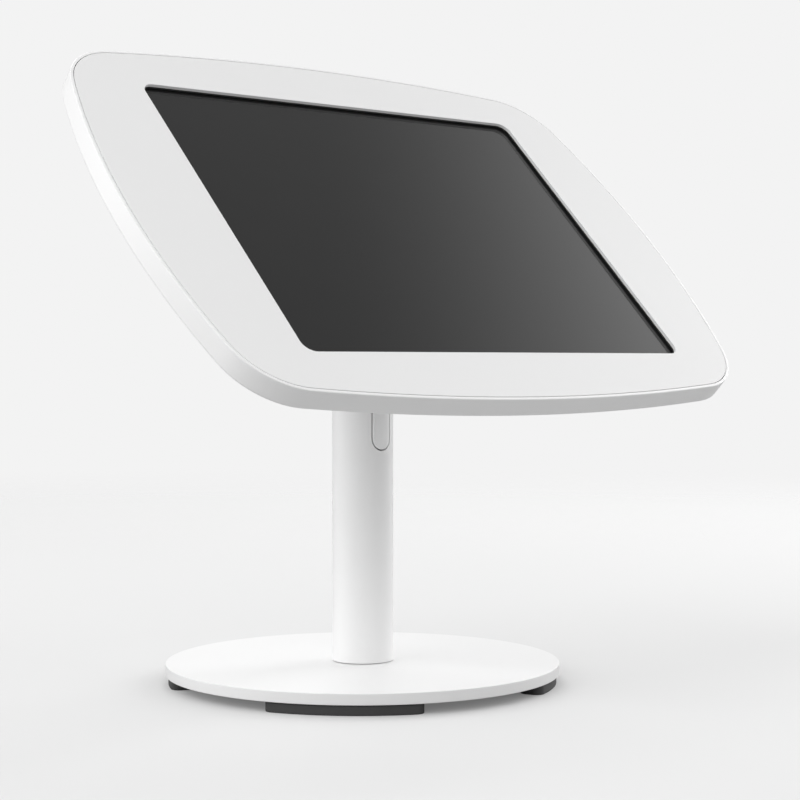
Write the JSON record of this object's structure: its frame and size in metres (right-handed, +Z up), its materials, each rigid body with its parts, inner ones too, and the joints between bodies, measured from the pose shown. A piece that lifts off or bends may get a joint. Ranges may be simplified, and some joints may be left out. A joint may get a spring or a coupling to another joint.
{
  "type": "counter-top tablet payment stand",
  "caption": "Counter-top payment screen: a tilting tablet enclosure with a locked faceplate on a swivelling tube and a round base plate with arc feet.",
  "frame": {"origin": "centre of the round base, on the table, at the flat lower face of the bolt cover", "axes": "+Z up along the column, the screen faces -Y, +X to the right of a person facing the screen"},
  "size_m": [0.3036, 0.2048, 0.2847],
  "materials": {
    "base_paint": "satin white powder coat on steel plate",
    "column_paint": "satin white powder coat",
    "bracket_paint": "satin white powder coat",
    "shell_paint": "satin white powder coat",
    "faceplate_paint": "matt pale grey-white",
    "black_mask": "matt black",
    "screen_glass": "polished dark cover glass",
    "display_panel": "dark panel, switched off",
    "foot_rubber": "dark moulded rubber",
    "grommet_rubber": "black moulded rubber",
    "turned_steel": "turned, zinc plated",
    "screw_steel": "zinc plated",
    "sheet_steel": "cut sheet, zinc plated",
    "lock_chrome": "bright plated",
    "lock_brass": "nickel-washed brass",
    "bronze_washer": "plain bronze",
    "bearing_plastic": "natural acetal",
    "tablet_aluminium": "fine blasted, anodised",
    "battery_wrap": "matt wrap",
    "circuit_board": "solder mask",
    "black_plastic": "moulded, fine texture",
    "foam_pad": "closed-cell foam"
  },
  "bodies": {
    "base": {"base_plate": "base_paint", "foot_pad_front_right": "foot_rubber", "foot_pad_rear_right": "foot_rubber", "foot_pad_rear_left": "foot_rubber", "foot_pad_front_left": "foot_rubber", "bolt_cover": "foot_rubber", "spigot_bolt": "screw_steel", "spigot": "turned_steel", "thrust_washer": "bearing_plastic", "retaining_washer": "turned_steel", "retaining_screw": "screw_steel"},
    "column": {"column_tube": "column_paint", "swivel_bush": "bearing_plastic", "stop_screw": "screw_steel", "neck_bracket": "column_paint", "neck_screw_upper": "screw_steel", "neck_screw_lower": "screw_steel", "column_grommet": "grommet_rubber", "friction_washer_left": "bronze_washer", "friction_washer_right": "bronze_washer"},
    "head": {"head_bracket": "bracket_paint", "bracket_screw_1": "screw_steel", "bracket_screw_2": "screw_steel", "bracket_screw_3": "screw_steel", "bracket_screw_4": "screw_steel", "hinge_bolt": "screw_steel", "hinge_spring": "turned_steel", "hinge_nut": "screw_steel", "rear_shell": "shell_paint", "shell_grommet": "grommet_rubber", "faceplate": "faceplate_paint", "mask_frame": "black_mask", "faceplate_tab_upper": "sheet_steel", "faceplate_tab_lower": "sheet_steel", "faceplate_catch": "sheet_steel", "tablet_body": "tablet_aluminium", "display_glass": "screen_glass", "display_panel": "display_panel", "battery": "battery_wrap", "main_board": "circuit_board", "cradle_frame": "black_plastic", "tablet_pad_1": "foam_pad", "tablet_pad_2": "foam_pad", "tablet_pad_3": "foam_pad", "tablet_pad_4": "foam_pad", "lock_body": "lock_chrome", "lock_nut": "turned_steel"},
    "lock": {"lock_barrel": "lock_brass", "lock_cam": "sheet_steel"},
    "power_button": {"power_button": "tablet_aluminium"},
    "volume_up_button": {"volume_up_button": "tablet_aluminium"},
    "volume_down_button": {"volume_down_button": "tablet_aluminium"}
  },
  "joints": [
    {"name": "column_swivel", "type": "hinge", "parent": "base", "child": "column", "pos_m": [0, 0, 0.0098], "axis": [0, 0, 1], "range_deg": [-160, 160]},
    {"name": "head_tilt", "type": "hinge", "parent": "column", "child": "head", "pos_m": [0, -0.01669, 0.18659], "axis": [1, 0, 0], "range_deg": [-30, 30]},
    {"name": "lock_turn", "type": "hinge", "parent": "head", "child": "lock", "pos_m": [0.14, -0.02942, 0.19931], "axis": [0, -0.7071, 0.7071], "range_deg": [0, 90]},
    {"name": "power_press", "type": "slide", "parent": "head", "child": "power_button", "axis": [1, 0, 0], "range_m": [0, 0.0003], "stiffness_N_per_m": 1000, "springref_m": -0.0003},
    {"name": "volume_up_press", "type": "slide", "parent": "head", "child": "volume_up_button", "axis": [0, -0.7071, -0.7071], "range_m": [0, 0.0003], "stiffness_N_per_m": 1000, "springref_m": -0.0003},
    {"name": "volume_down_press", "type": "slide", "parent": "head", "child": "volume_down_button", "axis": [0, -0.7071, -0.7071], "range_m": [0, 0.0003], "stiffness_N_per_m": 1000, "springref_m": -0.0003}
  ]
}
